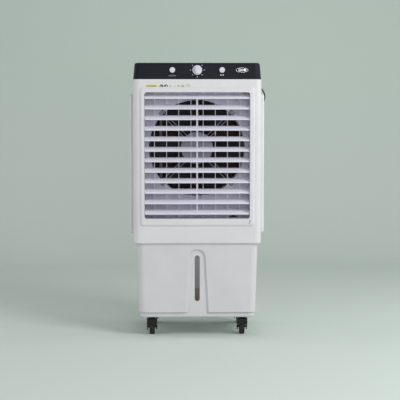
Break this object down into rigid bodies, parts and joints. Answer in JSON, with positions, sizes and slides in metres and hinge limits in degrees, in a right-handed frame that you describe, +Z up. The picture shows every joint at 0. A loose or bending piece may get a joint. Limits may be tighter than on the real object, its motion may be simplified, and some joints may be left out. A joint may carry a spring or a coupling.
{
  "type": "evaporative cooler",
  "caption": "Upright evaporative air cooler on swivel casters, with tilting louvers, swinging vanes, a fan, wet pads and a water tank with a level window.",
  "frame": {"origin": "on the floor under the middle of the body", "axes": "+Z up, +X to the right of someone facing the air outlet, air leaves along -Y"},
  "size_m": [0.5704, 0.6361, 1.0971],
  "materials": {
    "white_plastic": "satin",
    "louver_plastic": "satin",
    "vane_plastic": "satin",
    "cover_plastic": "satin",
    "control_plastic": "silver grey",
    "dark_plastic": "satin",
    "panel_plastic": "satin",
    "wire": "white powder coat",
    "motor_paint": "grey paint",
    "pad": "corrugated cellulose",
    "pipe": "smooth",
    "window": "clear plastic",
    "caster_black": "satin",
    "wheel_black": "matte",
    "steel": "zinc",
    "lead_black": "matte"
  },
  "bodies": {
    "cabinet": {"housing": "white_plastic", "grille_frame": "white_plastic", "orifice_panel": "panel_plastic", "motor_bracket": "wire", "fan_motor": "motor_paint", "swing_motor": "motor_paint", "top_cover": "cover_plastic", "switch_block": "dark_plastic", "left_panel": "white_plastic", "right_panel": "white_plastic", "rear_panel": "white_plastic", "cooling_pads": "pad", "water_manifold": "pipe", "pump": "dark_plastic", "tank": "white_plastic", "level_window": "window", "drain_plug": "dark_plastic", "inlet_valve": "dark_plastic", "caster_plates": "steel", "screws": "steel", "strain_relief": "lead_black", "power_cord": "lead_black", "cord_coil": "lead_black", "power_plug": "lead_black"},
    "louver_01_body": {"louver_01": "louver_plastic"},
    "louver_02_body": {"louver_02": "louver_plastic"},
    "louver_03_body": {"louver_03": "louver_plastic"},
    "louver_04_body": {"louver_04": "louver_plastic"},
    "louver_05_body": {"louver_05": "louver_plastic"},
    "louver_06_body": {"louver_06": "louver_plastic"},
    "louver_07_body": {"louver_07": "louver_plastic"},
    "louver_08_body": {"louver_08": "louver_plastic"},
    "louver_09_body": {"louver_09": "louver_plastic"},
    "louver_10_body": {"louver_10": "louver_plastic"},
    "louver_11_body": {"louver_11": "louver_plastic"},
    "louver_12_body": {"louver_12": "louver_plastic"},
    "louver_link_body": {"louver_link": "louver_plastic"},
    "vane_1_body": {"vane_1": "vane_plastic"},
    "vane_2_body": {"vane_2": "vane_plastic"},
    "vane_3_body": {"vane_3": "vane_plastic"},
    "vane_4_body": {"vane_4": "vane_plastic"},
    "vane_5_body": {"vane_5": "vane_plastic"},
    "vane_6_body": {"vane_6": "vane_plastic"},
    "vane_7_body": {"vane_7": "vane_plastic"},
    "vane_8_body": {"vane_8": "vane_plastic"},
    "vane_link_body": {"vane_link": "vane_plastic"},
    "swing_crank_body": {"swing_crank": "dark_plastic"},
    "fan": {"fan_impeller": "dark_plastic"},
    "knob": {"speed_knob": "control_plastic"},
    "left_button_body": {"left_button": "control_plastic"},
    "right_button_body": {"right_button": "control_plastic"},
    "float": {"float_arm": "dark_plastic"},
    "front_left_fork": {"caster_fork_front_left": "caster_black"},
    "front_left_wheel": {"caster_wheel_front_left": "wheel_black"},
    "front_right_fork": {"caster_fork_front_right": "caster_black"},
    "front_right_wheel": {"caster_wheel_front_right": "wheel_black"},
    "rear_left_fork": {"caster_fork_rear_left": "caster_black"},
    "rear_left_wheel": {"caster_wheel_rear_left": "wheel_black"},
    "rear_right_fork": {"caster_fork_rear_right": "caster_black"},
    "rear_right_wheel": {"caster_wheel_rear_right": "wheel_black"}
  },
  "joints": [
    {"name": "louver_01_tilt", "type": "hinge", "parent": "cabinet", "child": "louver_01_body", "pos_m": [0, -0.172, 0.9642], "axis": [1, 0, 0], "range_deg": [-45, 60]},
    {"name": "louver_02_tilt", "type": "hinge", "parent": "cabinet", "child": "louver_02_body", "pos_m": [0, -0.172, 0.92236], "axis": [1, 0, 0], "range_deg": [-45, 60]},
    {"name": "louver_03_tilt", "type": "hinge", "parent": "cabinet", "child": "louver_03_body", "pos_m": [0, -0.172, 0.88052], "axis": [1, 0, 0], "range_deg": [-45, 60]},
    {"name": "louver_04_tilt", "type": "hinge", "parent": "cabinet", "child": "louver_04_body", "pos_m": [0, -0.172, 0.83868], "axis": [1, 0, 0], "range_deg": [-45, 60]},
    {"name": "louver_05_tilt", "type": "hinge", "parent": "cabinet", "child": "louver_05_body", "pos_m": [0, -0.172, 0.79684], "axis": [1, 0, 0], "range_deg": [-45, 60]},
    {"name": "louver_06_tilt", "type": "hinge", "parent": "cabinet", "child": "louver_06_body", "pos_m": [0, -0.172, 0.755], "axis": [1, 0, 0], "range_deg": [-45, 60]},
    {"name": "louver_07_tilt", "type": "hinge", "parent": "cabinet", "child": "louver_07_body", "pos_m": [0, -0.172, 0.71316], "axis": [1, 0, 0], "range_deg": [-45, 60]},
    {"name": "louver_08_tilt", "type": "hinge", "parent": "cabinet", "child": "louver_08_body", "pos_m": [0, -0.172, 0.67132], "axis": [1, 0, 0], "range_deg": [-45, 60]},
    {"name": "louver_09_tilt", "type": "hinge", "parent": "cabinet", "child": "louver_09_body", "pos_m": [0, -0.172, 0.62948], "axis": [1, 0, 0], "range_deg": [-45, 60]},
    {"name": "louver_10_tilt", "type": "hinge", "parent": "cabinet", "child": "louver_10_body", "pos_m": [0, -0.172, 0.58764], "axis": [1, 0, 0], "range_deg": [-45, 60]},
    {"name": "louver_11_tilt", "type": "hinge", "parent": "cabinet", "child": "louver_11_body", "pos_m": [0, -0.172, 0.5458], "axis": [1, 0, 0], "range_deg": [-45, 60]},
    {"name": "louver_12_tilt", "type": "hinge", "parent": "cabinet", "child": "louver_12_body", "pos_m": [0, -0.172, 0.50396], "axis": [1, 0, 0], "range_deg": [-45, 60]},
    {"name": "louver_link_pivot", "type": "hinge", "parent": "louver_01_body", "child": "louver_link_body", "pos_m": [0, -0.15412, 0.96371], "axis": [1, 0, 0], "range_deg": [-60, 45]},
    {"name": "vane_1_swing", "type": "hinge", "parent": "cabinet", "child": "vane_1_body", "pos_m": [-0.1715, -0.122, 0.739], "axis": [0, 0, 1], "range_deg": [-38, 38]},
    {"name": "vane_2_swing", "type": "hinge", "parent": "cabinet", "child": "vane_2_body", "pos_m": [-0.1225, -0.122, 0.739], "axis": [0, 0, 1], "range_deg": [-38, 38]},
    {"name": "vane_3_swing", "type": "hinge", "parent": "cabinet", "child": "vane_3_body", "pos_m": [-0.0735, -0.122, 0.739], "axis": [0, 0, 1], "range_deg": [-38, 38]},
    {"name": "vane_4_swing", "type": "hinge", "parent": "cabinet", "child": "vane_4_body", "pos_m": [-0.0245, -0.122, 0.739], "axis": [0, 0, 1], "range_deg": [-38, 38]},
    {"name": "vane_5_swing", "type": "hinge", "parent": "cabinet", "child": "vane_5_body", "pos_m": [0.0245, -0.122, 0.739], "axis": [0, 0, 1], "range_deg": [-38, 38]},
    {"name": "vane_6_swing", "type": "hinge", "parent": "cabinet", "child": "vane_6_body", "pos_m": [0.0735, -0.122, 0.739], "axis": [0, 0, 1], "range_deg": [-38, 38]},
    {"name": "vane_7_swing", "type": "hinge", "parent": "cabinet", "child": "vane_7_body", "pos_m": [0.1225, -0.122, 0.739], "axis": [0, 0, 1], "range_deg": [-38, 38]},
    {"name": "vane_8_swing", "type": "hinge", "parent": "cabinet", "child": "vane_8_body", "pos_m": [0.1715, -0.122, 0.739], "axis": [0, 0, 1], "range_deg": [-38, 38]},
    {"name": "vane_link_pivot", "type": "hinge", "parent": "vane_1_body", "child": "vane_link_body", "pos_m": [-0.1715, -0.107, 0.4885], "axis": [0, 0, 1], "range_deg": [-38, 38]},
    {"name": "swing_crank_turn", "type": "hinge", "parent": "cabinet", "child": "swing_crank_body", "pos_m": [0.147, -0.107, 0.48], "axis": [0, 0, 1], "continuous": true},
    {"name": "fan_spin", "type": "hinge", "parent": "cabinet", "child": "fan", "pos_m": [0, 0, 0.758], "axis": [0, 1, 0], "continuous": true},
    {"name": "speed_knob_turn", "type": "hinge", "parent": "cabinet", "child": "knob", "pos_m": [0, -0.18584, 1.068], "axis": [0, -0.9962, 0.0874], "range_deg": [-315, 0]},
    {"name": "left_button_press", "type": "slide", "parent": "cabinet", "child": "left_button_body", "axis": [0, 0.9962, -0.0874], "range_m": [0, 0.003], "stiffness_N_per_m": 300, "springref_m": -0.004},
    {"name": "right_button_press", "type": "slide", "parent": "cabinet", "child": "right_button_body", "axis": [0, 0.9962, -0.0874], "range_m": [0, 0.003], "stiffness_N_per_m": 300, "springref_m": -0.004},
    {"name": "float_lift", "type": "hinge", "parent": "cabinet", "child": "float", "pos_m": [0.17, 0.147, 0.345], "axis": [-1, 0, 0], "range_deg": [0, 50]},
    {"name": "front_left_swivel", "type": "hinge", "parent": "cabinet", "child": "front_left_fork", "pos_m": [-0.183, -0.128, 0.0715], "axis": [0, 0, 1], "continuous": true},
    {"name": "front_left_roll", "type": "hinge", "parent": "front_left_fork", "child": "front_left_wheel", "pos_m": [-0.183, -0.108, 0.03], "axis": [1, 0, 0], "continuous": true},
    {"name": "front_right_swivel", "type": "hinge", "parent": "cabinet", "child": "front_right_fork", "pos_m": [0.183, -0.128, 0.0715], "axis": [0, 0, 1], "continuous": true},
    {"name": "front_right_roll", "type": "hinge", "parent": "front_right_fork", "child": "front_right_wheel", "pos_m": [0.183, -0.108, 0.03], "axis": [1, 0, 0], "continuous": true},
    {"name": "rear_left_swivel", "type": "hinge", "parent": "cabinet", "child": "rear_left_fork", "pos_m": [-0.183, 0.128, 0.0715], "axis": [0, 0, 1], "continuous": true},
    {"name": "rear_left_roll", "type": "hinge", "parent": "rear_left_fork", "child": "rear_left_wheel", "pos_m": [-0.183, 0.148, 0.03], "axis": [1, 0, 0], "continuous": true},
    {"name": "rear_right_swivel", "type": "hinge", "parent": "cabinet", "child": "rear_right_fork", "pos_m": [0.183, 0.128, 0.0715], "axis": [0, 0, 1], "continuous": true},
    {"name": "rear_right_roll", "type": "hinge", "parent": "rear_right_fork", "child": "rear_right_wheel", "pos_m": [0.183, 0.148, 0.03], "axis": [1, 0, 0], "continuous": true}
  ],
  "couplings": [
    {"joint": "louver_02_tilt", "follows": "louver_01_tilt", "ratio": 1},
    {"joint": "louver_03_tilt", "follows": "louver_01_tilt", "ratio": 1},
    {"joint": "louver_04_tilt", "follows": "louver_01_tilt", "ratio": 1},
    {"joint": "louver_05_tilt", "follows": "louver_01_tilt", "ratio": 1},
    {"joint": "louver_06_tilt", "follows": "louver_01_tilt", "ratio": 1},
    {"joint": "louver_07_tilt", "follows": "louver_01_tilt", "ratio": 1},
    {"joint": "louver_08_tilt", "follows": "louver_01_tilt", "ratio": 1},
    {"joint": "louver_09_tilt", "follows": "louver_01_tilt", "ratio": 1},
    {"joint": "louver_10_tilt", "follows": "louver_01_tilt", "ratio": 1},
    {"joint": "louver_11_tilt", "follows": "louver_01_tilt", "ratio": 1},
    {"joint": "louver_12_tilt", "follows": "louver_01_tilt", "ratio": 1},
    {"joint": "louver_link_pivot", "follows": "louver_01_tilt", "ratio": -1},
    {"joint": "vane_2_swing", "follows": "vane_1_swing", "ratio": 1},
    {"joint": "vane_3_swing", "follows": "vane_1_swing", "ratio": 1},
    {"joint": "vane_4_swing", "follows": "vane_1_swing", "ratio": 1},
    {"joint": "vane_5_swing", "follows": "vane_1_swing", "ratio": 1},
    {"joint": "vane_6_swing", "follows": "vane_1_swing", "ratio": 1},
    {"joint": "vane_7_swing", "follows": "vane_1_swing", "ratio": 1},
    {"joint": "vane_8_swing", "follows": "vane_1_swing", "ratio": 1},
    {"joint": "vane_link_pivot", "follows": "vane_1_swing", "ratio": -1}
  ]
}
